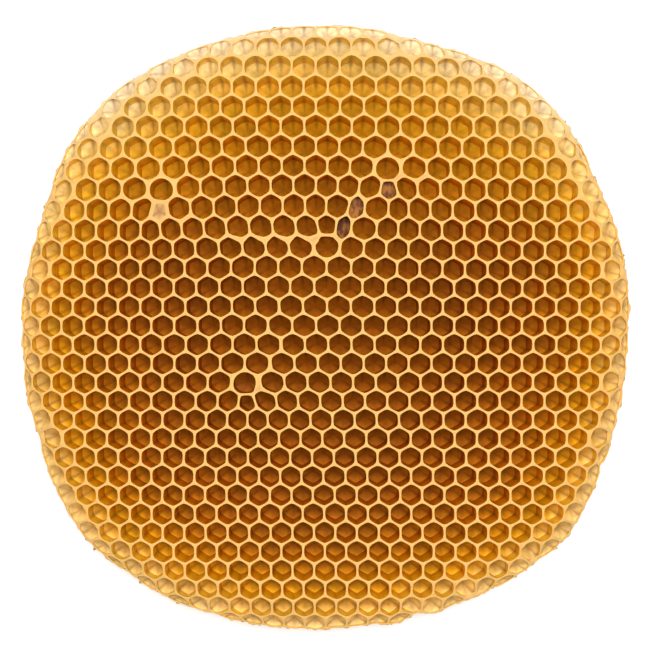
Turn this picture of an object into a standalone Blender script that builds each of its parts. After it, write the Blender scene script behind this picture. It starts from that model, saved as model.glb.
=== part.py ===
"""A piece of natural honeycomb: one slab of wax with hexagonal cells on both faces.

The comb lies flat, rounded-square in plan and lens-shaped in section. Its cells stand in
rows, slightly uneven, with four places where a column of cells begins or ends. The cells of
the underside sit off those of the top by the side of a cell, so that every floor rests on the
walls behind it. Each cell is cut as a six-sided pit that shares its rims with its neighbours.
Units are metres, +Z is up, and the comb rests on Z = 0.
"""

import math
import random
from collections import namedtuple

import bmesh
import bpy
from mathutils import Vector
from mathutils.geometry import delaunay_2d_cdt

MM = 0.001

# Overall form
WIDTH = 144.2 * MM
HEIGHT = 143.6 * MM
CORNER_POWER = 2.28             # 2 is an ellipse, larger is squarer
THICKNESS = 24.0 * MM           # rim to rim in the flat middle
MARGIN_THICKNESS = 5.2 * MM     # rim to rim at the outline
SHOULDER_WIDTH = 16.0 * MM      # how far in from the outline the faces curve back
SHOULDER_POWER = 3.2
MIDRIB_THICKNESS = 1.2 * MM     # wax between the floors of opposite cells

# Rows of cells, counted down from the seam; rows above it have negative numbers
SEAM_Y = 19.8 * MM              # a wide gap where two patches of comb met
SEAM_GAP = 4.4 * MM
ROW_PITCH_UPPER = 4.81 * MM
ROW_PITCH_LOWER = 4.33 * MM
ROWS_UPPER = 13
ROWS_LOWER = 24

# The topmost rows are crowded down towards the rest
CROWDING = 0.5 * MM
CROWDING_Y = 54.0 * MM
CROWDING_BLEND = 1.5 * MM

# The rows arch upwards in the middle, most of all just above the seam
ARCH_HEIGHT = 2.15 * MM
ARCH_X = -9.0 * MM
ARCH_HALF_WIDTH = 27.3 * MM
ARCH_REACH = 18.1 * MM
ARCH_BLEND = 7.5 * MM

# Columns of cells
CELL_PITCH = 5.255 * MM         # at the middle of the comb
PITCH_GROWTH = 0.0028           # upper cells are a little wider than lower ones
COLUMN_PHASE = 0.472
COLUMN_SLANT = 0.7              # columns leant over, per metre of height
FAN_OUT = 0.013                 # the outermost cells lean outwards by this share of the radius
FAN_POWER = 14

# Left of the middle the columns do not meet across the seam
SLIP = 0.13                     # in columns, each way
SLIP_X = -15.0 * MM
SLIP_HALF_WIDTH = 16.0 * MM
SLIP_REACH = 6.0 * MM

# Where a column begins (+1, below the point) or ends (-1)
ColumnChange = namedtuple("ColumnChange", "x y columns")
COLUMN_CHANGES = (
    ColumnChange(15.7 * MM, 33.1 * MM, 1),
    ColumnChange(-39.6 * MM, 27.2 * MM, 1),
    ColumnChange(0.3 * MM, 22.7 * MM, -1),
    ColumnChange(-16.7 * MM, -14.3 * MM, 1),
)

# The second and third cells of the inserted column are pinched like the first
PINCHED_CELLS = ((7.2 * MM, 27.7 * MM), (4.3 * MM, 23.0 * MM))
PINCH = 0.72

# Unevenness of the wax work
SEED = 7
CENTRE_WANDER = 0.12 * MM
RIM_SETTLE = 0.25 * MM

# The underside stands on its three tallest rims
STANDING_ANGLES = (90, 210, 330)
STANDING_RADIUS = 45.0 * MM
STANDING_GAP = 0.5 * MM         # how much taller they are than the other rims

# Margin
OUTER_CELL_REACH = 0.7 * MM     # a cell counts if its centre is at most this far outside
INNER_CORNER_DEPTH = 1.1 * MM   # rims shared by three cells stay at least this far inside
GHOST_BAND = 9.0 * MM           # cells laid out beyond the margin, only to shape its walls
NOTCH_PULL = 0.45 * MM          # the outline dips where two outer cells meet
LUMP_HEIGHT = 0.30 * MM
LUMP_COUNTS = (3, 11, 17, 23)
ANGLE_RELAX_STEPS = 4

# Places where the outline falls short of the oval, or stands proud where the depth is
# negative: angle from +X in degrees, depth, half width in degrees
Dent = namedtuple("Dent", "angle depth half_width")
FLATS = (
    Dent(28, 1.1 * MM, 9),
    Dent(70, 1.7 * MM, 10),
    Dent(112, 0.8 * MM, 9),
    Dent(159, 1.4 * MM, 10),
    Dent(-160, 0.8 * MM, 5),
    Dent(-139, -0.9 * MM, 8),
    Dent(-59, 1.2 * MM, 6),
    Dent(-41, -0.9 * MM, 5),
    Dent(-17, 0.8 * MM, 9),
)
TEARS = (
    Dent(-87.3, 1.1 * MM, 1.0),
    Dent(-83.2, 1.3 * MM, 1.1),
    Dent(-79.8, 1.1 * MM, 0.9),
    Dent(-72.5, 1.6 * MM, 3.2),
    Dent(-65.0, 0.9 * MM, 2.0),
    Dent(-27.0, 0.8 * MM, 2.0),
)

SCAN_STEP = 0.1 * MM
WAX_COLOUR = (0.87, 0.58, 0.20, 1.0)

HALF_WIDTH = WIDTH / 2
HALF_HEIGHT = HEIGHT / 2
MIDRIB_Z = THICKNESS / 2
CELL_SIDE = CELL_PITCH / math.sqrt(3)


def clear_scene():
    """Remove every object of the open file."""
    for thing in list(bpy.data.objects):
        bpy.data.objects.remove(thing, do_unlink=True)


def dent_depth(angle):
    """Depth missing from the outline at an angle in radians."""
    depth = 0.0
    for dent in FLATS + TEARS:
        away = math.remainder(math.degrees(angle) - dent.angle, 360)
        depth += dent.depth * math.exp(-((away / dent.half_width) ** 2))
    return depth


def outline_radius(angle):
    """Distance from the middle to the outline: a squarish oval, lumpy, dented and torn."""
    across = abs(math.cos(angle) / HALF_WIDTH) ** CORNER_POWER
    along = abs(math.sin(angle) / HALF_HEIGHT) ** CORNER_POWER
    oval = (across + along) ** (-1 / CORNER_POWER)
    lumps = sum(math.cos(count * angle + count) for count in LUMP_COUNTS) / len(LUMP_COUNTS)
    return oval + LUMP_HEIGHT * lumps - dent_depth(angle)


def depth_inside(x, y):
    """How far a point lies inside the outline, measured towards the middle."""
    return outline_radius(math.atan2(y, x)) - math.hypot(x, y)


def rim_height(depth):
    """Height of the rims above the midrib at a depth inside the outline."""
    flat = THICKNESS / 2
    drop = flat - MARGIN_THICKNESS / 2
    share = min(max(depth / SHOULDER_WIDTH, 0.0), 1.0)
    return flat - drop * (1 - share) ** SHOULDER_POWER


def row_base(row):
    """Height of a row of cells before it arches."""
    if row < 0:
        base = SEAM_Y + SEAM_GAP / 2 + ROW_PITCH_UPPER * (-row - 1)
        return base - CROWDING / (1 + math.exp((CROWDING_Y - base) / CROWDING_BLEND))
    return SEAM_Y - SEAM_GAP / 2 - ROW_PITCH_LOWER * row


def row_lift(x, base):
    """How far the arch raises a row at x: strongest above the seam, fading upwards."""
    above = base - SEAM_Y
    across = math.exp(-(((x - ARCH_X) / ARCH_HALF_WIDTH) ** 2))
    upwards = math.exp(-((max(above, 0.0) / ARCH_REACH) ** 2))
    return ARCH_HEIGHT * across * upwards / (1 + math.exp(-above / ARCH_BLEND))


def seam_slip(x, base):
    """Columns by which a row near the seam is shifted: leftwards above it, rightwards below."""
    away = abs(base - SEAM_Y) / SLIP_REACH
    across = (x - SLIP_X) / SLIP_HALF_WIDTH
    return math.copysign(SLIP, base - SEAM_Y) * math.exp(-across * across - away * away)


def column_number(x, y, base):
    """Running count of columns at a point; whole numbers fall on cell centres of even rows."""
    count = x / (CELL_PITCH + PITCH_GROWTH * base) + COLUMN_PHASE + COLUMN_SLANT * base
    count += seam_slip(x, base)
    for change in COLUMN_CHANGES:
        count += change.columns * math.atan2(x - change.x, change.y - y) / math.tau
    return count


def row_centres(row, shift_y):
    """Cell centres along one row, from left to right."""
    base = row_base(row)
    reach = HALF_WIDTH + GHOST_BAND
    centres = []
    last_offset = None
    for step in range(int(2 * reach / SCAN_STEP)):
        x = step * SCAN_STEP - reach
        y = base + row_lift(x, base)
        count = column_number(x, y, base) - 0.5 * (row % 2)
        offset = count - round(count)
        if last_offset is not None and last_offset < 0 <= offset and offset - last_offset < 0.5:
            centres.append((x, y + shift_y))
        last_offset = offset
    return centres


def fan_out(x, y):
    """Scale that leans the outermost cells outwards."""
    share = min(math.hypot(x, y) / outline_radius(math.atan2(y, x)), 1.0)
    return 1 + FAN_OUT * share ** FAN_POWER


def cell_centres(shift_y, rng):
    """All cell centres of one face, with a ring of ghost cells outside the outline."""
    centres = []
    for row in range(-ROWS_UPPER, ROWS_LOWER):
        for x, y in row_centres(row, shift_y):
            wander = Vector((rng.uniform(-1, 1), rng.uniform(-1, 1))) * CENTRE_WANDER
            point = Vector((x, y)) * fan_out(x, y) + wander
            if depth_inside(point.x, point.y) > -GHOST_BAND:
                centres.append(point)
    return centres


def lay_out_cells(centres):
    """Mesh of pits: a vertex at every cell centre, and rims where three cells meet."""
    points, _, triangles, _, _, _ = delaunay_2d_cdt(centres, [], [], 0, 1e-7)
    pits = bmesh.new()
    corners = [pits.verts.new((point.x, point.y, 0.0)) for point in points]
    for triangle in triangles:
        pits.faces.new([corners[index] for index in triangle])
    links = pits.edges[:]
    floors = pits.verts[:]
    bmesh.ops.poke(pits, faces=pits.faces[:])
    bmesh.ops.rotate_edges(pits, edges=[edge for edge in links if len(edge.link_faces) == 2])
    return pits, floors


def trim_to_outline(pits, floors):
    """Remove the ghost cells and whatever hangs loose."""
    kept = [floor for floor in floors if depth_inside(floor.co.x, floor.co.y) > -OUTER_CELL_REACH]
    ghosts = list(set(floors) - set(kept))
    bmesh.ops.delete(pits, geom=ghosts, context="VERTS")
    bmesh.ops.delete(pits, geom=[edge for edge in pits.edges if not edge.link_faces], context="EDGES")
    bmesh.ops.delete(pits, geom=[vert for vert in pits.verts if not vert.link_faces], context="VERTS")
    return kept


def rim_corners(floor):
    """The rim vertices round one cell."""
    return [edge.other_vert(floor) for edge in floor.link_edges]


def pinch_cells(floors):
    """Narrow the cells of the inserted column; their neighbours widen to match."""
    for x, y in PINCHED_CELLS:
        floor = min(floors, key=lambda cell: math.hypot(cell.co.x - x, cell.co.y - y))
        for corner in rim_corners(floor):
            corner.co.x = floor.co.x + (corner.co.x - floor.co.x) * PINCH


def pull_in_corners(pits, floors):
    """Keep the rims that three cells share clear of the outline."""
    cell_tips = set(floors)
    for vert in pits.verts:
        if vert in cell_tips or vert.is_boundary:
            continue
        reach = outline_radius(math.atan2(vert.co.y, vert.co.x)) - INNER_CORNER_DEPTH
        if vert.co.xy.length > reach:
            vert.co *= reach / vert.co.xy.length


def margin_loop(pits):
    """The open border of a face, as vertices in order round the comb."""
    start = next(edge for edge in pits.edges if edge.is_boundary)
    first, current = start.verts
    loop = [first, current]
    while True:
        onward = [edge.other_vert(current) for edge in current.link_edges if edge.is_boundary]
        following = next(vert for vert in onward if vert is not loop[-2])
        if following is first:
            return loop
        loop.append(following)
        current = following


def fit_margin(pits, floors):
    """Bring the outer walls onto the outline, evenly spaced, with a dip between cells."""
    loop = margin_loop(pits)
    angles = [math.atan2(vert.co.y, vert.co.x) for vert in loop]
    total = len(loop)
    for _ in range(ANGLE_RELAX_STEPS):
        eased = []
        for index, angle in enumerate(angles):
            before = angles[index - 1]
            after = angles[(index + 1) % total]
            turn = math.remainder(before - angle, math.tau) + math.remainder(after - angle, math.tau)
            eased.append(angle + turn / 4)
        angles = eased
    cell_tips = set(floors)
    for vert, angle in zip(loop, angles):
        shared = sum(edge.other_vert(vert) in cell_tips for edge in vert.link_edges)
        radius = outline_radius(angle) - (NOTCH_PULL if shared > 1 else 0.0)
        vert.co.x = radius * math.cos(angle)
        vert.co.y = radius * math.sin(angle)


def standing_rims(rims):
    """The rims that the comb stands on, one near each of three points round the middle."""
    chosen = set()
    for degrees in STANDING_ANGLES:
        angle = math.radians(degrees)
        point = Vector((math.cos(angle), math.sin(angle))) * STANDING_RADIUS
        chosen.add(min(rims, key=lambda rim: (rim.co.xy - point).length))
    return chosen


def raise_face(pits, floors, side, rng):
    """Lift the rims to the face's height and leave the floors by the midrib."""
    tips = set(floors)
    rims = [vert for vert in pits.verts if vert not in tips]
    standing = standing_rims(rims) if side < 0 else set()
    gap = STANDING_GAP if side < 0 else 0.0
    for rim in rims:
        settle = gap + rng.random() * RIM_SETTLE
        if rim in standing:
            settle = 0.0
        height = rim_height(depth_inside(rim.co.x, rim.co.y)) - settle
        rim.co.z = MIDRIB_Z + side * height
    for floor in floors:
        corners = rim_corners(floor)
        middle = sum((corner.co for corner in corners), Vector()) / len(corners)
        floor.co = (middle.x, middle.y, MIDRIB_Z + side * MIDRIB_THICKNESS / 2)


def build_face(side, shift_y, rng):
    """One face of the comb as an open mesh: side is +1 for the top and -1 for the underside."""
    pits, floors = lay_out_cells(cell_centres(shift_y, rng))
    floors = trim_to_outline(pits, floors)
    pinch_cells(floors)
    pull_in_corners(pits, floors)
    fit_margin(pits, floors)
    raise_face(pits, floors, side, rng)
    mesh = bpy.data.meshes.new("face")
    pits.to_mesh(mesh)
    pits.free()
    return mesh


def wax_material():
    """Pale yellow wax."""
    wax = bpy.data.materials.new("beeswax")
    wax.use_nodes = True
    shader = wax.node_tree.nodes["Principled BSDF"]
    shader.inputs["Base Color"].default_value = WAX_COLOUR
    shader.inputs["Roughness"].default_value = 0.45
    shader.inputs["Metallic"].default_value = 0.0
    return wax


def centre_on_origin(comb):
    """Move the comb so that the middle of its box is over the origin."""
    xs = [vert.co.x for vert in comb.verts]
    ys = [vert.co.y for vert in comb.verts]
    shift = Vector((-(min(xs) + max(xs)) / 2, -(min(ys) + max(ys)) / 2, 0.0))
    bmesh.ops.translate(comb, verts=comb.verts[:], vec=shift)


def build_comb(collection):
    """Join the two faces along the margin into one closed solid."""
    rng = random.Random(SEED)
    top = build_face(1, 0.0, rng)
    underside = build_face(-1, -CELL_SIDE, rng)
    comb = bmesh.new()
    comb.from_mesh(top)
    comb.from_mesh(underside)
    borders = [edge for edge in comb.edges if edge.is_boundary]
    bmesh.ops.bridge_loops(comb, edges=borders)
    bmesh.ops.triangulate(comb, faces=comb.faces[:])
    bmesh.ops.recalc_face_normals(comb, faces=comb.faces[:])
    centre_on_origin(comb)
    mesh = bpy.data.meshes.new("comb")
    comb.to_mesh(mesh)
    comb.free()
    bpy.data.meshes.remove(top)
    bpy.data.meshes.remove(underside)
    mesh.materials.append(wax_material())
    collection.objects.link(bpy.data.objects.new("comb", mesh))


def main():
    """Build the honeycomb piece in its own collection."""
    clear_scene()
    collection = bpy.data.collections.new("honeycomb_piece")
    bpy.context.scene.collection.children.link(collection)
    build_comb(collection)


main()
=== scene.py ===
"""Looks of a piece of natural honeycomb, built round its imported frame.

The frame holds the lattice of the comb: the rims where three cells meet and the floors
beside the midrib. This script opens each cell of that lattice into what bees build: a beaded rim
round a rounded mouth, thin upright walls, and a floor of three faces that meet in a point.
Units are metres, +Z is up, and the comb lies on the table at Z = 0.
"""

import bisect
import logging
import math
import random
from dataclasses import dataclass, field
from enum import Enum
from typing import Any, Iterable, Sequence

import bmesh
import bpy
from bmesh.types import BMesh, BMFace, BMVert
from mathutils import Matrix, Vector, noise


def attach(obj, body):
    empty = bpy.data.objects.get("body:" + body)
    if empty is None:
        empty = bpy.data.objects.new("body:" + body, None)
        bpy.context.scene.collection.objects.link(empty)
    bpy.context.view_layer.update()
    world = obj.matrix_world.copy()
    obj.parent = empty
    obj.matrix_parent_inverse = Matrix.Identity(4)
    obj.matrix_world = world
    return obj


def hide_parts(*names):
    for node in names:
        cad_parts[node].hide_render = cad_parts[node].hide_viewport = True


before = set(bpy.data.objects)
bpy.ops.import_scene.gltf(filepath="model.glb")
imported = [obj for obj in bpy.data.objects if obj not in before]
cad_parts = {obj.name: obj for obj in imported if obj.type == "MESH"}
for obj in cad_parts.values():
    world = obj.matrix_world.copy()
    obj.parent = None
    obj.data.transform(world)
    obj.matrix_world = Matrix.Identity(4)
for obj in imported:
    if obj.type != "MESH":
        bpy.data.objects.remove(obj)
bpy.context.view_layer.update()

MM = 0.001
LOG = logging.getLogger("honeycomb")

MIDRIB_Z = 12.0 * MM                   # height of the wall between the two faces' cells
MIDRIB_HALF = 0.6 * MM                 # the floors' tips lie this far above and below it
MERGE_DISTANCE = 0.01 * MM
SIDE_CUTS = 2                          # each side of a mouth is three segments long
SEGMENTS = SIDE_CUTS + 1
GRID = 6 * MM                          # a little more than a cell
RIM_SHADE = 0.5                        # lightness of what belongs to no cell
UNDER_BEAD_LIMIT = 0.36 * MM           # walls never set back further than this under a bead
OTHER_NOISE = Vector((0.0, 0.0, 9.0))  # leads to a part of the noise that is not used yet
CLOUD_DETAIL = 2.0                     # finer octaves on top of a noise
NOISE_RANGE = (0.3, 0.7)               # most of a noise lies between these


class Side(Enum):
    """The two faces of the comb, valued by the way they look along Z."""

    TOP = 1
    UNDERSIDE = -1


@dataclass(frozen=True)
class ThickWax:
    """A place where the bees have piled wax on the walls.

    Args:
        x: Place of its middle along X.
        y: Place of its middle along Y.
        span: Half the length over which it runs along X at full strength.
        reach: Distance at which its effect has fallen to a third.
        swell: How far it closes the mouths round it.
        stain: How strongly it is discoloured, from 0 to 1.
    """

    x: float
    y: float
    span: float
    reach: float
    swell: float
    stain: float

    def strength_at(self, x: float, y: float) -> float:
        """Share of its full effect at a point.

        Args:
            x: Place of the point along X.
            y: Place of the point along Y.

        Returns:
            The share, from 0 to 1.
        """
        along = max(abs(x - self.x) - self.span, 0.0)
        distance = math.hypot(along, y - self.y) / self.reach
        return math.exp(-distance * distance)


@dataclass(frozen=True)
class CrampedCell:
    """A cell too narrow to be used, capped over part of the way down.

    Args:
        x: Place of its middle along X.
        y: Place of its middle along Y.
        depth: Depth of its false floor below the rim.
    """

    x: float
    y: float
    depth: float


@dataclass(frozen=True)
class CellForm:
    """Sizes that all cells share."""

    rim_half: float = 0.235 * MM       # half the width of the bead on top of a wall
    mouth_reach: float = 2.72 * MM     # no mouth is wider than this from its middle
    corner_ease: float = 0.42          # how far a mouth's corners are filled in
    bead_drop: float = 0.17 * MM       # the bead's fall from its crest to the mouth
    throat_depth: float = 1.3 * MM     # where the wall has thinned below its bead
    throat_share: float = 0.35         # the throat's depth in a shallow cell, as a share of it
    wall_widening: float = 0.55        # how much of the bead's overhang the throat gives back
    base_widening: float = 0.62        # the same at the floor
    floor_slope: float = 0.5           # rise of a floor's faces from the point in the middle
    low_corner: float = 0.5            # share of that rise at the corners where a floor folds
    floor_share: float = 0.6           # most that the floor's faces rise in a shallow cell
    mouth_wander: float = 0.05 * MM    # unevenness of the mouths
    mouth_grain: float = 1.7 * MM      # length of that unevenness
    crest_wander: float = 0.07 * MM    # fall of the uneven crests
    crest_grain: float = 2.3 * MM
    floor_edge: float = 0.85           # how far the floor's colour has come in at its edge
    wall_crease_shade: float = 0.5           # painted shade in the creases between walls
    faint_crease_shade: float = 0.2            # painted shade at a floor's corners where it does not fold
    tip_painted_light: float = 0.3              # painted light at the tip of a floor
    wall_painted_light: float = 1.2             # painted light: how much brighter a cell's lower walls are painted than its floor


@dataclass
class Cell:
    """One cell of the lattice.

    Args:
        side: Face of the comb that it opens on.
        tip: The deepest point of its floor.
        shade: Its own lightness, from 0 to 1.
        depth_limit: Depth of a false floor below the rim, or None for the true floor.
    """

    side: Side
    tip: Vector
    shade: float
    depth_limit: float | None = None


class Layer(Enum):
    """Values kept at each vertex of the comb for its colour, painted light and shade among them."""

    DEPTH = "depth"                    # 0 at the rims, 1 at the deepest floors
    FLOOR = "floor"                    # 0 on the beads, most on the floors, 1 at their tips
    PALE = "pale"                      # 1 at the sides and the bottom of the margin
    EDGE = "edge"                      # painted highlight: 1 at a mouth's edge
    CREASE_SHADE = "fold"                      # painted shade: 1 where walls or floor faces meet
    GLOW = "painted_light"                      # painted light: 1 on the lower face of each floor and on the lower walls
    AGE = "age"                        # 0 at the fresh margin, 1 in the old middle, held lower towards the top as painted light
    SHADE = "shade"                    # each cell's own lightness
    STAIN = "stain"                    # thick or dirty wax
    CAP = "cap"                        # 1 inside the capped cells


@dataclass
class Comb:
    """The whole piece of comb as one closed skin of wax.

    Args:
        form: Sizes that all cells share.
        thick_wax: Places where the walls are thickened.
        cramped_cells: The capped cells: three up the right of the seam, and one at the left.
        age_reach, margin_age, painted_top_light, top_spread: How the wax ages from the margin inwards;
        painted light keeps it lighter towards the top.
        pale_reach, pale_fade: How the floors pale towards the margin.
        deepest: The depth that the layer of depths is measured by.
        bead_overhang, bead_wander, bead_fall: The outermost bead.
        ragged_grain, ragged_reach, ragged_height: The torn edge below it.
        side_height: Place of the side's wall.
        seed: Seed of each cell's own lightness and of the mouths' unevenness.
        outline: Angle and distance of the border's vertices, found while building.
        cells: The cells, found while building.
        rims: For each vertex of a mouth, its place on the crest, found while building.
    """

    form: CellForm = field(default_factory=CellForm)
    thick_wax: Sequence[ThickWax] = (
        ThickWax(-38.6 * MM, 27.4 * MM, 0.2 * MM, 2.4 * MM, 0.30 * MM, 0.6),
        ThickWax(-38.2 * MM, 25.6 * MM, 0.0 * MM, 0.9 * MM, 0.10 * MM, 1.0),
        ThickWax(-46.2 * MM, 29.0 * MM, 0.5 * MM, 1.3 * MM, 0.20 * MM, 0.3),
        ThickWax(-32.2 * MM, 25.2 * MM, 0.3 * MM, 1.4 * MM, 0.25 * MM, 0.4),
        ThickWax(-10.5 * MM, 20.3 * MM, 12.5 * MM, 0.8 * MM, 0.32 * MM, 0.3),
        ThickWax(-1.8 * MM, 20.0 * MM, 0.5 * MM, 1.0 * MM, 0.25 * MM, 0.8),
        ThickWax(2.0 * MM, 20.2 * MM, 0.4 * MM, 0.9 * MM, 0.20 * MM, 0.8),
        ThickWax(8.1 * MM, 29.8 * MM, 0.3 * MM, 1.2 * MM, 0.20 * MM, 0.4),
        ThickWax(17.0 * MM, 34.4 * MM, 0.2 * MM, 1.1 * MM, 0.15 * MM, 0.9),
        ThickWax(22.1 * MM, 34.4 * MM, 0.3 * MM, 1.3 * MM, 0.25 * MM, 0.5),
        ThickWax(-14.4 * MM, -8.6 * MM, 0.8 * MM, 1.3 * MM, 0.30 * MM, 0.3),
        ThickWax(-15.0 * MM, -13.2 * MM, 0.0 * MM, 1.6 * MM, 0.30 * MM, 0.4),
        ThickWax(-15.6 * MM, -14.2 * MM, 0.0 * MM, 0.8 * MM, 0.10 * MM, 1.0),
        ThickWax(-9.9 * MM, -4.0 * MM, 0.0 * MM, 1.3 * MM, 0.18 * MM, 0.2),
        ThickWax(-12.7 * MM, -0.6 * MM, 0.0 * MM, 1.3 * MM, 0.12 * MM, 0.2),
        ThickWax(-10.5 * MM, 4.6 * MM, 0.0 * MM, 1.1 * MM, 0.10 * MM, 0.1),
    )
    cramped_cells: Sequence[CrampedCell] = (
        CrampedCell(15.2 * MM, 31.9 * MM, 4.5 * MM),
        CrampedCell(7.35 * MM, 27.6 * MM, 4.0 * MM),
        CrampedCell(4.4 * MM, 22.8 * MM, 8.0 * MM),
        CrampedCell(-38.3 * MM, 26.6 * MM, 0.5 * MM),
    )
    age_reach: float = 45.0 * MM       # distance from the margin at which the wax is oldest
    margin_age: float = 0.12           # age of the margin at the sides and the bottom
    pale_reach: float = 6.5 * MM       # how far in from the margin the floors are pale
    painted_top_light: float = 0.4             # painted light: share by which the age is held back, so the wax lighter, towards the top
    top_spread: float = 1.4            # how widely round the top of the comb that painted light reaches
    deepest: float = 11.4 * MM         # depth of a full cell
    bead_overhang: float = 0.15 * MM   # how far the outer bead stands out from the outline
    bead_wander: float = 0.7 * MM      # how far its bumps stand out further
    bead_fall: float = 0.35 * MM       # how far it turns down
    ragged_grain: float = 1.5 * MM     # length of the tatters along the torn edge
    ragged_reach: float = 1.8 * MM     # how far the longest of them would stand out
    ragged_height: float = 0.9 * MM    # how far they stray up and down
    side_height: float = 1.1 * MM      # where the outer wall meets the midrib, above or below it
    pale_fade: float = 0.7             # power by which the paleness falls off inwards
    seed: int = 11
    outline: list[tuple[float, float]] = field(default_factory=list, init=False)
    cells: list[Cell] = field(default_factory=list, init=False)
    rims: dict[BMVert, Vector] = field(default_factory=dict, init=False)

    def build(self) -> bpy.types.Object:
        """Build the comb's mesh from the frame.

        Returns:
            The finished object, with its layers painted but no material.
        """
        noise.seed_set(self.seed)      # else the wander of the mouths follows the clock
        wax = self.merged_lattice()
        self.outline = self.measure_outline(wax)
        mouths = self.open_mouths(wax)
        self.rims = self.ease_mouths(wax, mouths)
        floors = self.sink_walls(wax, mouths)
        self.close_floors(wax, floors)
        self.close_margin(wax)
        return self.finish_mesh(wax)

    def merged_lattice(self) -> BMesh:
        """Copy the frame's lattice with its loose triangles joined.

        Returns:
            A new mesh with one vertex where triangles meet.
        """
        wax = bmesh.new()
        wax.from_mesh(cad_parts["comb"].data)
        bmesh.ops.remove_doubles(wax, verts=wax.verts[:], dist=MERGE_DISTANCE)
        for layer in Layer:
            wax.verts.layers.float.new(layer.value)
        wax.verts.layers.int.new("corner")
        wax.faces.layers.int.new("cell")
        return wax

    def measure_outline(self, wax: BMesh) -> list[tuple[float, float]]:
        """Angle and distance of each vertex on the border, in order of angle.

        Args:
            wax: The lattice, with its floors' tips still in place.

        Returns:
            Pairs of angle in radians and distance from the middle.
        """
        border = []
        for vert in wax.verts:
            around = [edge.other_vert(vert) for edge in vert.link_edges]
            beside_tip = any(is_tip(other) for other in around)
            across = any(height_side(other) is not height_side(vert) for other in around)
            if beside_tip and across and not is_tip(vert):
                border.append((math.atan2(vert.co.y, vert.co.x), vert.co.xy.length))
        return sorted(border)

    def margin_distance(self, point: Vector) -> float:
        """How far a point lies inside the outline.

        Args:
            point: A place on the comb.

        Returns:
            The distance along the line from the middle, in metres.
        """
        angle = math.atan2(point.y, point.x)
        place = bisect.bisect(self.outline, (angle, 0.0)) % len(self.outline)
        return self.outline[place][1] - point.xy.length

    def open_mouths(self, wax: BMesh) -> list[BMFace]:
        """Turn the pits into flat mouths and note the cell behind each.

        Args:
            wax: The lattice.

        Returns:
            One many-sided face for each cell, its sides cut into short segments.
        """
        rng = random.Random(self.seed)
        tips = [vert for vert in wax.verts if is_tip(vert)]
        places = [vert.co.copy() for vert in tips]
        bmesh.ops.dissolve_verts(wax, verts=tips)
        band = [face for face in wax.faces if len(face.verts) == 3]
        bmesh.ops.delete(wax, geom=band, context="FACES_ONLY")
        bmesh.ops.delete(wax, geom=[edge for edge in wax.edges if edge.is_wire], context="EDGES")
        mouths = wax.faces[:]
        self.cells = self.match_cells(wax, mouths, places, rng)
        corner = wax.verts.layers.int["corner"]
        for vert in wax.verts:
            vert[corner] = 1
        cut = bmesh.ops.subdivide_edges(wax, edges=wax.edges[:], cuts=SIDE_CUTS)
        for thing in cut["geom_inner"]:
            if isinstance(thing, BMVert):
                thing[corner] = 0
        return mouths

    def match_cells(
        self, wax: BMesh, mouths: Iterable[BMFace], places: Iterable[Vector], rng: random.Random
    ) -> list[Cell]:
        """Give each mouth the cell whose tip lies behind it.

        Args:
            wax: The lattice.
            mouths: One face for each cell.
            places: The tips of all floors.
            rng: Source of each cell's own lightness.

        Returns:
            The cells, in the order of the mouths.
        """
        number = wax.faces.layers.int["cell"]
        by_place = {}
        for place in places:
            by_place.setdefault(grid_key(place), []).append(place)
        cells = []
        for mouth in mouths:
            middle = mean_of([vert.co for vert in mouth.verts])
            side = Side.TOP if middle.z > MIDRIB_Z else Side.UNDERSIDE
            near = [
                place
                for key in neighbour_keys(middle)
                for place in by_place.get(key, ())
                if (place.z > MIDRIB_Z) == (side is Side.TOP)
            ]
            tip = min(near, key=lambda place: (place.xy - middle.xy).length)
            mouth[number] = len(cells)
            cells.append(Cell(side, tip.copy(), rng.random()))
        for cramped in self.cramped_cells:
            tops = [cell for cell in cells if cell.side is Side.TOP]
            nearest = min(tops, key=lambda cell: math.hypot(cell.tip.x - cramped.x, cell.tip.y - cramped.y))
            nearest.depth_limit = cramped.depth
        return cells

    def ease_mouths(self, wax: BMesh, mouths: list[BMFace]) -> dict[BMVert, Vector]:
        """Set the mouths in from the crests and round their corners.

        Args:
            wax: The lattice with cut sides.
            mouths: One face for each cell.

        Returns:
            For each vertex of a mouth, the place on the crest that it came from.
        """
        form = self.form
        bmesh.ops.inset_individual(wax, faces=mouths, thickness=form.rim_half, use_even_offset=True)
        corner = wax.verts.layers.int["corner"]
        number = wax.faces.layers.int["cell"]
        crests = {}
        for mouth in mouths:
            side = self.cells[mouth[number]].side.value
            ring = ring_from_corner(mouth, corner)
            inner = set(ring)
            for vert in ring:
                around = [edge.other_vert(vert) for edge in vert.link_edges]
                crests[vert] = next(other for other in around if other not in inner).co.copy()
            for vert, place in zip(ring, self.eased_places(ring)):
                vert.co.x = place.x
                vert.co.y = place.y
                vert.co.z = crests[vert].z - side * form.bead_drop
        self.uneven_crests(wax, set(crests))
        return crests

    def eased_places(self, ring: list[BMVert]) -> list[Vector]:
        """Places of a mouth's vertices once it is rounded, kept small and made uneven.

        Args:
            ring: The mouth's vertices, corners at every third place.

        Returns:
            One place for each vertex.
        """
        form = self.form
        total = len(ring)
        places = [vert.co.copy() for vert in ring]
        for index in range(0, total, SEGMENTS):
            halfway = (ring[index - 1].co + ring[(index + 1) % total].co) / 2
            places[index] = places[index].lerp(halfway, form.corner_ease)
        middle = mean_of(places)
        for index, place in enumerate(places):
            away = (place - middle).to_2d()
            reach = min(away.length, form.mouth_reach)
            for wax in self.thick_wax:
                reach -= wax.swell * wax.strength_at(place.x, place.y)
            away = away.normalized() * reach
            wander = noise.noise_vector(place / form.mouth_grain).to_2d() * form.mouth_wander
            places[index] = Vector((middle.x + away.x + wander.x, middle.y + away.y + wander.y, place.z))
        return places

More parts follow.
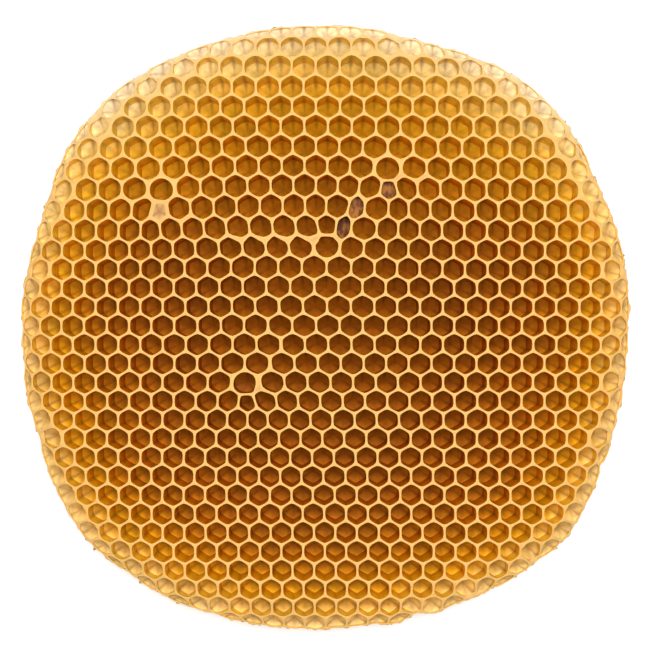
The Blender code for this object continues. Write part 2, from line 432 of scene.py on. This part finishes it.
    def uneven_crests(self, wax: BMesh, mouth_verts: set[BMVert]) -> None:
        """Let the crests of the walls rise and fall a little.

        Args:
            wax: The lattice with its mouths set in.
            mouth_verts: The vertices that are not on a crest.
        """
        for vert in wax.verts:
            if vert not in mouth_verts:
                drop = abs(noise.noise(vert.co / self.form.crest_grain)) * self.form.crest_wander
                vert.co.z -= drop if vert.co.z > MIDRIB_Z else -drop

    def sink_walls(self, wax: BMesh, mouths: list[BMFace]) -> list[BMFace]:
        """Extrude each mouth down to its throat and on to the edge of its floor.

        Args:
            wax: The lattice with finished mouths.
            mouths: One face for each cell.

        Returns:
            The faces that lie where the floors will be.
        """
        corner = wax.verts.layers.int["corner"]
        number = wax.faces.layers.int["cell"]
        mouth_highlight = vertex_layer(wax, Layer.EDGE)
        fold = vertex_layer(wax, Layer.CREASE_SHADE)
        depth = vertex_layer(wax, Layer.DEPTH)
        floor_layer = vertex_layer(wax, Layer.FLOOR)
        painted_light = vertex_layer(wax, Layer.GLOW)
        profiles = {}
        for mouth in mouths:
            ring = ring_from_corner(mouth, corner)
            profiles[mouth[number]] = [(vert.co.copy(), self.rims[vert]) for vert in ring]
            for vert in ring:
                # painted highlight along the mouth's edge
                vert[mouth_highlight] = 1.0
                vert[depth] = self.form.bead_drop / self.deepest
            for edge in mouth.edges:
                edge.smooth = False
        throats = bmesh.ops.extrude_discrete_faces(wax, faces=mouths)["faces"]
        for throat in throats:
            cell = self.cells[throat[number]]
            ring = ring_from_corner(throat, corner)
            for vert, (mouth_place, crest) in zip(ring, profiles[throat[number]]):
                self.place_throat(vert, cell, mouth_place, crest)
                vert[depth] = abs(crest.z - vert.co.z) / self.deepest
                vert[mouth_highlight] = 0.0
                # painted shade in the creases between the walls
                vert[fold] = self.form.wall_crease_shade if vert[corner] else 0.0
                # painted light: the cell's lower walls are painted lighter
                vert[painted_light] = self.form.wall_painted_light * painted_light_share(vert.co, cell)
        floors = bmesh.ops.extrude_discrete_faces(wax, faces=throats)["faces"]
        for floor in floors:
            cell = self.cells[floor[number]]
            ring = ring_from_corner(floor, corner)
            self.place_floor_edge(ring, cell, profiles[floor[number]])
            for vert, (mouth_place, crest) in zip(ring, profiles[floor[number]]):
                vert[depth] = abs(crest.z - vert.co.z) / self.deepest
                vert[floor_layer] = self.form.floor_edge
        return floors

    def place_throat(self, vert: BMVert, cell: Cell, mouth_place: Vector, crest: Vector) -> None:
        """Move a vertex to where the wall has thinned below its bead.

        Args:
            vert: The vertex.
            cell: The cell it belongs to.
            mouth_place: The vertex above it on the mouth.
            crest: The place above it on the crest.
        """
        form = self.form
        available = abs(crest.z - cell.tip.z)
        fall = min(form.throat_depth, form.throat_share * available)
        widened = widen(mouth_place, crest, form.wall_widening)
        vert.co = Vector((widened.x, widened.y, crest.z - cell.side.value * fall))

    def place_floor_edge(
        self, ring: list[BMVert], cell: Cell, profile: list[tuple[Vector, Vector]]
    ) -> None:
        """Move a ring of vertices to the edge of a cell's three-faced floor.

        Args:
            ring: The vertices, corners at every third place.
            cell: The cell they belong to.
            profile: For each vertex, the places above it on the mouth and on the crest.
        """
        form = self.form
        total = len(ring)
        places = [widen(mouth_place, crest, form.base_widening) for mouth_place, crest in profile]
        rises = [self.corner_rise(cell, places[index]) for index in range(0, total, SEGMENTS)]
        for index, (vert, place) in enumerate(zip(ring, places)):
            start, step = divmod(index, SEGMENTS)
            share = step / SEGMENTS
            rise = rises[start] * (1 - share) + rises[(start + 1) % len(rises)] * share
            crest = profile[index][1]
            bottom = self.floor_height(cell, crest)
            available = abs(crest.z - bottom)
            height = bottom + cell.side.value * min(rise, form.floor_share * available)
            vert.co = Vector((place.x, place.y, height))

    def floor_height(self, cell: Cell, crest: Vector) -> float:
        """Height of the lowest point of a cell's floor under a place on its crest.

        Args:
            cell: The cell.
            crest: A place on its crest.

        Returns:
            The height, in metres above the table.
        """
        if cell.depth_limit is None:
            return cell.tip.z
        return crest.z - cell.side.value * cell.depth_limit

    def corner_rise(self, cell: Cell, place: Vector) -> float:
        """Rise of the floor at a corner: full at three corners, less at those where it folds.

        Args:
            cell: The cell.
            place: The corner.

        Returns:
            The height above the cell's tip.
        """
        reach = (place - cell.tip).to_2d().length
        share = between(1.0, self.form.low_corner, fold_wave(place, cell))
        return self.form.floor_slope * reach * share

    def close_floors(self, wax: BMesh, floors: list[BMFace]) -> None:
        """Raise each floor's faces round its tip.

        Args:
            wax: The comb with its walls sunk.
            floors: One many-sided face for each cell.
        """
        number = wax.faces.layers.int["cell"]
        corner = wax.verts.layers.int["corner"]
        fold = vertex_layer(wax, Layer.CREASE_SHADE)
        painted_light = vertex_layer(wax, Layer.GLOW)
        depth = vertex_layer(wax, Layer.DEPTH)
        floor_layer = vertex_layer(wax, Layer.FLOOR)
        for floor in floors:
            cell = self.cells[floor[number]]
            for vert in ring_from_corner(floor, corner):
                # painted light: the floor's lower face is painted lighter
                vert[painted_light] = painted_light_share(vert.co, cell)
                # painted shade at the floor's corners, darkest where it folds
                corner_shade = between(self.form.faint_crease_shade, 1.0, fold_wave(vert.co, cell))
                vert[fold] = corner_shade if vert[corner] else 0.0
        poked = bmesh.ops.poke(wax, faces=floors)
        for vert in poked["verts"]:
            cell = self.cells[vert.link_faces[0][number]]
            vert.co.x = cell.tip.x
            vert.co.y = cell.tip.y
            ring = [edge.other_vert(vert) for edge in vert.link_edges]
            if cell.depth_limit is None:
                vert.co.z = cell.tip.z
            else:
                vert.co.z = mean_of([around.co for around in ring]).z
            vert[depth] = sum(around[depth] for around in ring) / len(ring)
            vert[floor_layer] = 1.0
            # painted shade at the floor's tip
            vert[fold] = 1.0
            # painted light at the floor's tip
            vert[painted_light] = self.form.tip_painted_light
        for face in wax.faces:
            face.smooth = True
        for face in poked["faces"]:
            face.smooth = self.cells[face[number]].depth_limit is not None

    def close_margin(self, wax: BMesh) -> None:
        """Turn the outer rims over and join the two faces of the comb by a torn edge.

        Args:
            wax: The comb, open all round its margin.
        """
        bead = self.extrude_border(wax)
        for vert in bead:
            bump = max(noise.noise(vert.co / self.ragged_grain), 0.0) * self.bead_wander
            outward = vert.co.xy.normalized() * (self.bead_overhang + bump)
            vert.co += Vector((outward.x, outward.y, -height_side(vert).value * self.bead_fall))
        foot = self.extrude_border(wax)
        for vert in foot:
            side = height_side(vert).value
            inward = vert.co.xy.normalized() * -self.bead_overhang
            uneven = noise.noise(vert.co / self.ragged_grain) * self.ragged_height
            height = MIDRIB_Z + side * self.side_height + uneven
            vert.co = Vector((vert.co.x + inward.x, vert.co.y + inward.y, height))
        ends = [edge for edge in wax.edges if edge.is_boundary]
        bridged = bmesh.ops.bridge_loops(wax, edges=ends)
        across = [edge for edge in bridged["edges"] if edge not in set(ends)]
        cut = bmesh.ops.subdivide_edges(wax, edges=across, cuts=1)
        fringe = [thing for thing in cut["geom_inner"] if isinstance(thing, BMVert)]
        for vert in fringe:
            place = vert.co / self.ragged_grain
            outward = vert.co.xy.normalized() * abs(noise.noise(place)) * self.ragged_reach
            uneven = noise.noise(place + OTHER_NOISE) * self.ragged_height
            vert.co += Vector((outward.x, outward.y, uneven))

    def extrude_border(self, wax: BMesh) -> list[BMVert]:
        """Extrude the open border.

        Args:
            wax: The comb.

        Returns:
            The new vertices.
        """
        border = [edge for edge in wax.edges if edge.is_boundary]
        made = bmesh.ops.extrude_edge_only(wax, edges=border)["geom"]
        return [thing for thing in made if isinstance(thing, BMVert)]

    def finish_mesh(self, wax: BMesh) -> bpy.types.Object:
        """Paint the layers and write the mesh to an object.

        Args:
            wax: The closed comb.

        Returns:
            The object.
        """
        age = vertex_layer(wax, Layer.AGE)
        stain = vertex_layer(wax, Layer.STAIN)
        pale = vertex_layer(wax, Layer.PALE)
        for vert in wax.verts:
            inside = max(self.margin_distance(vert.co), 0.0)
            # painted light: towards the top of the comb the age is held back, so the wax is painted lighter
            # there
            rise = self.top_spread * vert.co.y / max(vert.co.xy.length, MM)
            upwards = min(max(rise, 0.0), 1.0) ** 2
            old = inside / self.age_reach * (1 - self.painted_top_light * upwards)
            vert[age] = min(old + self.margin_age * (1 - upwards), 1.0)
            vert[pale] = max(1 - inside / self.pale_reach, 0.0) ** self.pale_fade * (1 - upwards)
            stains = (lump.stain * lump.strength_at(vert.co.x, vert.co.y) for lump in self.thick_wax)
            vert[stain] = min(sum(stains), 1.0)
        self.paint_cells(wax)
        mesh = bpy.data.meshes.new("honeycomb")
        wax.to_mesh(mesh)
        wax.free()
        thing = bpy.data.objects.new("honeycomb", mesh)
        bpy.context.scene.collection.objects.link(thing)
        return thing

    def paint_cells(self, wax: BMesh) -> None:
        """Give the inside of each cell its own lightness, and mark the capped ones.

        Args:
            wax: The closed comb.
        """
        number = wax.faces.layers.int["cell"]
        depth = vertex_layer(wax, Layer.DEPTH)
        shade = vertex_layer(wax, Layer.SHADE)
        cap = vertex_layer(wax, Layer.CAP)
        under_bead = 2 * self.form.bead_drop / self.deepest
        for vert in wax.verts:
            vert[shade] = RIM_SHADE
        for face in wax.faces:
            cell = self.cells[face[number]]
            for vert in face.verts:
                if vert[depth] > under_bead:
                    vert[shade] = cell.shade
                    vert[cap] = float(cell.depth_limit is not None)


def vertex_layer(wax: BMesh, layer: Layer) -> Any:
    """One of the layers of values at a mesh's vertices."""
    return wax.verts.layers.float[layer.value]


def is_tip(vert: BMVert) -> bool:
    """Whether a vertex of the lattice is the tip of a floor."""
    return abs(abs(vert.co.z - MIDRIB_Z) - MIDRIB_HALF) < MERGE_DISTANCE


def height_side(vert: BMVert) -> Side:
    """The face of the comb that a vertex belongs to."""
    return Side.TOP if vert.co.z > MIDRIB_Z else Side.UNDERSIDE


def cell_angle(place: Vector, cell: Cell) -> float:
    """Angle of a place round a cell's middle, from the way that one fold of its floor points."""
    away = place - cell.tip
    return math.atan2(away.y, away.x) - cell.side.value * math.pi / 2


def fold_wave(place: Vector, cell: Cell) -> float:
    """Wave round a cell: 1 at the three corners where its floor folds, -1 at the others."""
    return math.cos(3 * cell_angle(place, cell))


def between(trough: float, peak: float, wave: float) -> float:
    """Value between the one where a wave is at -1 and the one where it is at 1."""
    return (trough + peak) / 2 + (peak - trough) / 2 * wave


def painted_light_share(place: Vector, cell: Cell) -> float:
    """Share of the painted light that a place on the wall or floor gets, most on a cell's lower side."""
    return math.sqrt(max(-math.cos(cell_angle(place, cell)), 0.0))


def mean_of(places: Sequence[Vector]) -> Vector:
    """The middle of several places."""
    return sum(places, Vector()) / len(places)


def grid_key(place: Vector) -> tuple[int, int]:
    """Square of the grid that a place lies in."""
    return int(place.x // GRID), int(place.y // GRID)


def neighbour_keys(place: Vector) -> list[tuple[int, int]]:
    """The grid squares round a place."""
    column, row = grid_key(place)
    return [(column + across, row + along) for across in (-1, 0, 1) for along in (-1, 0, 1)]


def ring_from_corner(face: BMFace, corner: Any) -> list[BMVert]:
    """A cell's ring of vertices, turned so that it starts at a corner.

    Args:
        face: A many-sided face.
        corner: The layer that marks corners.

    Returns:
        The vertices in order.
    """
    ring = list(face.verts)
    first = next(index for index, vert in enumerate(ring) if vert[corner])
    return ring[first:] + ring[:first]


def widen(mouth_place: Vector, crest: Vector, share: float) -> Vector:
    """A place under a mouth, moved outwards under its bead.

    Args:
        mouth_place: The place on the mouth.
        crest: The place beside it on the crest.
        share: How much of the way to the crest it moves.

    Returns:
        The moved place, at height 0.
    """
    outward = (crest - mouth_place).to_2d()
    step = outward.normalized() * min(outward.length * share, UNDER_BEAD_LIMIT)
    return Vector((mouth_place.x + step.x, mouth_place.y + step.y, 0.0))


def linear(hex_colour: str) -> tuple[float, float, float, float]:
    """Turn an sRGB hex colour to a linear one.

    Args:
        hex_colour: Six hex digits.

    Returns:
        Red, green, blue and an alpha of 1.
    """
    parts = [int(hex_colour[start:start + 2], 16) / 255 for start in (0, 2, 4)]
    values = [part / 12.92 if part <= 0.04045 else ((part + 0.055) / 1.055) ** 2.4 for part in parts]
    return values[0], values[1], values[2], 1.0


def add_node(
    tree: bpy.types.NodeTree,
    kind: str,
    values: dict[Any, Any] | None = None,
    links: dict[Any, bpy.types.NodeSocket] | None = None,
    **settings: Any,
) -> bpy.types.Node:
    """Add a node to a material.

    Args:
        tree: The material's nodes.
        kind: The node's type.
        values: Constants for its inputs.
        links: Outputs of other nodes for its inputs.
        settings: The node's own settings.

    Returns:
        The node.
    """
    node = tree.nodes.new(kind)
    for name, value in settings.items():
        setattr(node, name, value)
    for socket, value in (values or {}).items():
        node.inputs[socket].default_value = value
    for socket, source in (links or {}).items():
        tree.links.new(source, node.inputs[socket])
    return node


def set_ramp(node: bpy.types.Node, stops: Sequence[tuple[float, str]]) -> None:
    """Give a colour ramp its stops.

    Args:
        node: The ramp.
        stops: Position and hex colour of each stop.
    """
    elements = node.color_ramp.elements
    while len(elements) < len(stops):
        elements.new(1.0)
    for element, (position, colour) in zip(elements, stops):
        element.position = position
        element.color = linear(colour)


@dataclass(frozen=True)
class Beeswax:
    """Natural beeswax as bees draw it out: translucent, satin, darker where it is old.

    Light sinks a little way into the wax, so thin rims look bright and soft-edged, while
    light that bounces down a deep cell comes back warm and dark.

    Args:
        rim_ages: Colours of the rims, from the fresh margin to the old middle.
        wall_ages: Colours of the upper walls, the same way, kept bright as painted light through the thin
            wax.
        floor_ages: Colours of the floors, the same way, darker than the walls in the old middle as painted
            shade.
        wall_start, wall_end: Depths between which the rim's colour gives way to the wall's.
        floor_start, floor_end: The same for the wall's and the floor's.
        pale_colour, pale_strength: Floors beside the margin.
        mouth_highlight_colour, mouth_highlight_strength: Painted highlight along the thin edges of the
        mouths.
        crease_shade_colour, crease_shade_strength: Painted shade in the creases.
        painted_light_strength: Lightening by the painted light on the lower walls and floor faces.
        stain_colour, stain_strength: Thick or dirty wax on the rims.
        cap_highlight_colour, cap_stain, cap_grain, cap_stretch, cap_range, cap_strength: Cloudy caps, whose
        paler streaks are painted highlights.
        shade_range: Lightness of the darkest and the lightest cell.
        patch_size, patch_range: Patches inside the cells.
        roughness, ior, gloss: The satin surface.
        scatter_weight, scatter_scale, scatter_radius: How far light sinks in.
        grain_size, grain_strength, grain_height: The fine unevenness of the surface.
    """

    rim_ages: Sequence[tuple[float, str]] = (
        (0.0, "D8C49E"),
        (0.06, "D0AC76"),
        (0.15, "D0A464"),
        (1.0, "CEA263"),
    )
    wall_ages: Sequence[tuple[float, str]] = (
        (0.0, "ECCC84"),
        (0.06, "F6D46C"),
        (0.12, "FBDC58"),
        (0.17, "FBD43E"),
        (0.22, "FBCC28"),
        (0.33, "F3B20E"),
        (0.45, "E79A04"),
        (0.53, "DD8604"),
        (0.73, "D67604"),
        (1.0, "C66202"),
    )
    floor_ages: Sequence[tuple[float, str]] = (
        (0.0, "F6E6C4"),
        (0.06, "FAE4A8"),
        (0.12, "FCDC78"),
        (0.17, "F8C844"),
        (0.22, "EEBA20"),
        (0.33, "D89A08"),
        (0.45, "CB8404"),
        (0.53, "BE7604"),
        (0.73, "B46904"),
        (1.0, "A85E02"),
    )
    wall_start: float = 0.01           # depths between which the rim's colour gives way
    wall_end: float = 0.07
    floor_start: float = 0.35          # and the wall's, from 0 at the bead to 1 at the tip
    floor_end: float = 0.95
    pale_colour: str = "D2B67C"
    pale_strength: float = 0.9
    mouth_highlight_colour: str = "E8B65C"
    mouth_highlight_strength: float = 0.75
    crease_shade_colour: str = "5C2002"
    crease_shade_strength: float = 0.55
    painted_light_strength: float = 0.24
    stain_colour: str = "B07C50"
    stain_strength: float = 0.6
    cap_highlight_colour: str = "A2641C"
    cap_stain: str = "602804"
    cap_grain: float = 600.0           # mottles in the caps for each metre
    cap_stretch: tuple[float, float, float] = (1.6, 0.8, 1.0)
    cap_range: tuple[float, float] = (0.42, 0.62)
    cap_strength: float = 0.92
    shade_range: tuple[float, float] = (0.94, 1.06)
    patch_size: float = 1.6 * MM
    patch_range: tuple[float, float] = (0.82, 1.18)
    roughness: float = 0.5
    ior: float = 1.44
    gloss: float = 0.15
    scatter_weight: float = 0.3
    scatter_scale: float = 0.8 * MM
    scatter_radius: tuple[float, float, float] = (1.0, 0.45, 0.12)
    grain_size: float = 0.8 * MM
    grain_strength: float = 0.35
    grain_height: float = 0.05 * MM

    def build(self) -> bpy.types.Material:
        """Make the material.

        Returns:
            The wax, driven by the layers of the comb.
        """
        wax = bpy.data.materials.new("natural_beeswax")
        wax.use_nodes = True
        tree = wax.node_tree
        shader = tree.nodes["Principled BSDF"]
        shader.inputs["Roughness"].default_value = self.roughness
        shader.inputs["IOR"].default_value = self.ior
        shader.inputs["Specular IOR Level"].default_value = self.gloss
        shader.inputs["Subsurface Weight"].default_value = self.scatter_weight
        shader.inputs["Subsurface Radius"].default_value = self.scatter_radius
        shader.inputs["Subsurface Scale"].default_value = self.scatter_scale
        tree.links.new(self.colour(tree), shader.inputs["Base Color"])
        tree.links.new(self.bump(tree), shader.inputs["Normal"])
        return wax

    def layer(self, tree: bpy.types.NodeTree, layer: Layer) -> bpy.types.NodeSocket:
        """Read one of the comb's layers."""
        return add_node(tree, "ShaderNodeAttribute", attribute_name=layer.value).outputs["Fac"]

    def colour(self, tree: bpy.types.NodeTree) -> bpy.types.NodeSocket:
        """Colour of the wax from its depth, age and stains, with painted shade in its folds and painted
        light and highlights.

        Args:
            tree: The material's nodes.

        Returns:
            The colour's output.
        """
        depth = self.layer(tree, Layer.DEPTH)
        age = self.layer(tree, Layer.AGE)
        rim, wall, floor = (
            self.ramp(tree, age, stops) for stops in (self.rim_ages, self.wall_ages, self.floor_ages)
        )
        rim = self.tint(tree, Layer.STAIN, self.stain_strength, rim, linear(self.stain_colour))
        floor = self.tint(tree, Layer.PALE, self.pale_strength, floor, linear(self.pale_colour))
        # painted light and shade: walls painted bright as if lit through the thin wax, and the old middle's
        # floors darker as the shade deep in the cells, on top of the wax's own darkening with age
        near_floor = self.fade(tree, self.layer(tree, Layer.FLOOR), self.floor_start, self.floor_end)
        inside = self.scale(tree, self.mix(tree, near_floor, wall, floor), self.clouding(tree))
        below_rim = self.fade(tree, depth, self.wall_start, self.wall_end)
        colour = self.mix(tree, below_rim, rim, inside)
        # painted shade in the creases and at the floors' tips
        colour = self.tint(tree, Layer.CREASE_SHADE, self.crease_shade_strength, colour, linear(self.crease_shade_colour))
        # painted highlight along the mouths' edges
        colour = self.tint(tree, Layer.EDGE, self.mouth_highlight_strength, colour, linear(self.mouth_highlight_colour))
        # the capped cells' cloudy brown, with paler streaks as painted highlights
        colour = self.tint(tree, Layer.CAP, self.cap_strength, colour, self.cap_mottle_and_highlights(tree))
        shade = self.spread(tree, self.layer(tree, Layer.SHADE), (0.0, 1.0), self.shade_range)
        # painted light: the lower walls and floor faces made lighter
        painted_light_range = (1.0, 1.0 + self.painted_light_strength)
        painted_light = self.spread(tree, self.layer(tree, Layer.GLOW), (0.0, 1.0), painted_light_range)
        links = {0: shade, 1: painted_light}
        both = add_node(tree, "ShaderNodeMath", links=links, operation="MULTIPLY")
        return self.scale(tree, colour, both.outputs[0])

    def clouding(self, tree: bpy.types.NodeTree) -> bpy.types.NodeSocket:
        """Soft patches, darker and lighter, left inside the cells by use.

        Args:
            tree: The material's nodes.

        Returns:
            The factor's output.
        """
        place = add_node(tree, "ShaderNodeTexCoord").outputs["Object"]
        patches = self.clouds(tree, place, 1 / self.patch_size)
        return self.spread(tree, patches, NOISE_RANGE, self.patch_range)

    def clouds(
        self, tree: bpy.types.NodeTree, place: bpy.types.NodeSocket, scale: float
    ) -> bpy.types.NodeSocket:
        """Soft noise of a given number of clouds for each metre."""
        values = {"Scale": scale, "Detail": CLOUD_DETAIL}
        return add_node(tree, "ShaderNodeTexNoise", values, {"Vector": place}).outputs["Fac"]

    def spread(
        self,
        tree: bpy.types.NodeTree,
        value: bpy.types.NodeSocket,
        source: tuple[float, float],
        target: tuple[float, float],
    ) -> bpy.types.NodeSocket:
        """Turn a value from one range to another.

        Args:
            tree: The material's nodes.
            value: The value's output.
            source: The range that the value has.
            target: The range that it gets.

        Returns:
            The turned value's output.
        """
        limits = {"From Min": source[0], "From Max": source[1], "To Min": target[0], "To Max": target[1]}
        return add_node(tree, "ShaderNodeMapRange", limits, {"Value": value}).outputs[0]

    def scale(
        self, tree: bpy.types.NodeTree, colour: bpy.types.NodeSocket, factor: bpy.types.NodeSocket
    ) -> bpy.types.NodeSocket:
        """Make a colour lighter or darker by a factor."""
        links = {0: colour, 1: factor}
        return add_node(tree, "ShaderNodeVectorMath", links=links, operation="MULTIPLY").outputs[0]

    def cap_mottle_and_highlights(self, tree: bpy.types.NodeTree) -> bpy.types.NodeSocket:
        """Cloudy brown of a capped cell, with paler streaks that are painted highlights.

        Args:
            tree: The material's nodes.

        Returns:
            The colour's output.
        """
        place = add_node(tree, "ShaderNodeTexCoord").outputs["Object"]
        stretch = add_node(tree, "ShaderNodeMapping", {"Scale": self.cap_stretch}, {"Vector": place})
        clouds = self.clouds(tree, stretch.outputs[0], self.cap_grain)
        pale = self.fade(tree, clouds, *self.cap_range)
        return self.mix(tree, pale, linear(self.cap_stain), linear(self.cap_highlight_colour))

    def ramp(
        self, tree: bpy.types.NodeTree, value: bpy.types.NodeSocket, stops: Sequence[tuple[float, str]]
    ) -> bpy.types.NodeSocket:
        """Colour that follows a value.

        Args:
            tree: The material's nodes.
            value: The value's output.
            stops: Position and hex colour of each stop.

        Returns:
            The colour's output.
        """
        node = add_node(tree, "ShaderNodeValToRGB", links={"Fac": value})
        set_ramp(node, stops)
        return node.outputs[0]

    def fade(
        self, tree: bpy.types.NodeTree, value: bpy.types.NodeSocket, start: float, end: float
    ) -> bpy.types.NodeSocket:
        """A smooth share that rises as a value passes between two limits.

        Args:
            tree: The material's nodes.
            value: The value's output.
            start: Where the share is 0.
            end: Where the share is 1.

        Returns:
            The share's output.
        """
        node = add_node(
            tree,
            "ShaderNodeMapRange",
            {"From Min": start, "From Max": end},
            {"Value": value},
            interpolation_type="SMOOTHSTEP",
        )
        return node.outputs[0]

    def tint(
        self, tree: bpy.types.NodeTree, layer: Layer, strength: float, colour: Any, added: Any
    ) -> bpy.types.NodeSocket:
        """Mix in another colour where a layer is strong.

        Args:
            tree: The material's nodes.
            layer: The layer that says where.
            strength: The most that is mixed in.
            colour: The colour's output so far.
            added: The output or colour that is mixed in.

        Returns:
            The colour's output.
        """
        links = {0: self.layer(tree, layer)}
        share = add_node(tree, "ShaderNodeMath", {1: strength}, links, operation="MULTIPLY")
        return self.mix(tree, share.outputs[0], colour, added)

    def mix(
        self, tree: bpy.types.NodeTree, share: bpy.types.NodeSocket, first: Any, second: Any
    ) -> bpy.types.NodeSocket:
        """Mix two colours.

        Args:
            tree: The material's nodes.
            share: How much of the second.
            first: A colour's output, or a constant colour.
            second: The same.

        Returns:
            The mixed colour's output.
        """
        node = add_node(tree, "ShaderNodeMix", links={0: share}, data_type="RGBA")
        for socket, colour in ((node.inputs[6], first), (node.inputs[7], second)):
            if isinstance(colour, tuple):
                socket.default_value = colour
            else:
                tree.links.new(colour, socket)
        return node.outputs[2]

    def bump(self, tree: bpy.types.NodeTree) -> bpy.types.NodeSocket:
        """Fine unevenness of the wax, which breaks up its satin sheen.

        Args:
            tree: The material's nodes.

        Returns:
            The normal's output.
        """
        place = add_node(tree, "ShaderNodeTexCoord").outputs["Object"]
        links = {"Height": self.clouds(tree, place, 1 / self.grain_size)}
        values = {"Strength": self.grain_strength, "Distance": self.grain_height}
        return add_node(tree, "ShaderNodeBump", values, links).outputs[0]


@dataclass(frozen=True)
class MattPaper:
    """Uncoated white paper, whose matt fibres spread light so evenly that it shows no sheen.

    Args:
        colour: Its white.
        roughness: Its roughness.
    """

    colour: str = "FAFAFA"
    roughness: float = 0.9

    def build(self) -> bpy.types.Material:
        """Make the material.

        Returns:
            The paper.
        """
        paper = bpy.data.materials.new("matt_white_paper")
        paper.use_nodes = True
        shader = paper.node_tree.nodes["Principled BSDF"]
        shader.inputs["Base Color"].default_value = linear(self.colour)
        shader.inputs["Roughness"].default_value = self.roughness
        return paper


@dataclass(frozen=True)
class Studio:
    """A white table under soft light, seen from straight above.

    Args:
        table_half: Half the table's side.
        camera_height, camera_x, camera_y: Place of the camera.
        lens: Its focal length in millimetres.
        nearest_seen: It sees nothing nearer than this.
        sky_strength: Strength of the white surround.
        lamp_size, lamp_power, lamp_place: The soft lamp, nearly overhead, so that light
            reaches the floors of the cells.
    """

    table_half: float = 1.2
    camera_height: float = 314 * MM
    camera_x: float = -0.07 * MM
    camera_y: float = 0.6 * MM
    lens: float = 69.8
    nearest_seen: float = 10 * MM
    sky_strength: float = 0.65
    lamp_size: float = 0.2
    lamp_power: float = 2.15
    lamp_place: tuple[float, float, float] = (0.01, 0.05, 0.47)

    def build(self) -> None:
        """Set up the table, the lights and the camera."""
        self.lay_table()
        self.light()
        self.place_camera()

    def lay_table(self) -> None:
        """Lay a matt white table under the comb."""
        sheet = bmesh.new()
        bmesh.ops.create_grid(sheet, x_segments=1, y_segments=1, size=self.table_half)
        mesh = bpy.data.meshes.new("table")
        sheet.to_mesh(mesh)
        sheet.free()
        table = bpy.data.objects.new("table", mesh)
        bpy.context.scene.collection.objects.link(table)
        mesh.materials.append(MattPaper().build())

    def light(self) -> None:
        """Light the comb with an even white surround and one large soft lamp."""
        scene = bpy.context.scene
        world = bpy.data.worlds.new("surround")
        world.use_nodes = True
        background = world.node_tree.nodes["Background"]
        background.inputs["Color"].default_value = (1.0, 1.0, 1.0, 1.0)
        background.inputs["Strength"].default_value = self.sky_strength
        scene.world = world
        lamp_data = bpy.data.lights.new("soft_lamp", "AREA")
        lamp_data.size = self.lamp_size
        lamp_data.energy = self.lamp_power
        lamp = bpy.data.objects.new("soft_lamp", lamp_data)
        lamp.location = self.lamp_place
        lamp.rotation_euler = (-lamp.location).to_track_quat("-Z", "Y").to_euler()
        scene.collection.objects.link(lamp)
        scene.view_settings.view_transform = "Standard"

    def place_camera(self) -> None:
        """Look straight down at the comb."""
        scene = bpy.context.scene
        camera_data = bpy.data.cameras.new("camera")
        camera_data.lens = self.lens
        camera_data.clip_start = self.nearest_seen
        camera = bpy.data.objects.new("camera", camera_data)
        camera.location = (self.camera_x, self.camera_y, self.camera_height)
        scene.collection.objects.link(camera)
        scene.camera = camera


def main() -> None:
    """Build the honeycomb and its studio."""
    logging.basicConfig(level=logging.INFO, format="%(name)s: %(message)s")
    Studio().build()
    comb = Comb()
    thing = comb.build()
    thing.data.materials.append(Beeswax().build())
    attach(thing, "root")
    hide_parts("comb")
    LOG.info("honeycomb: %d cells, %d faces", len(comb.cells), len(thing.data.polygons))


if __name__ == "__main__":
    main()
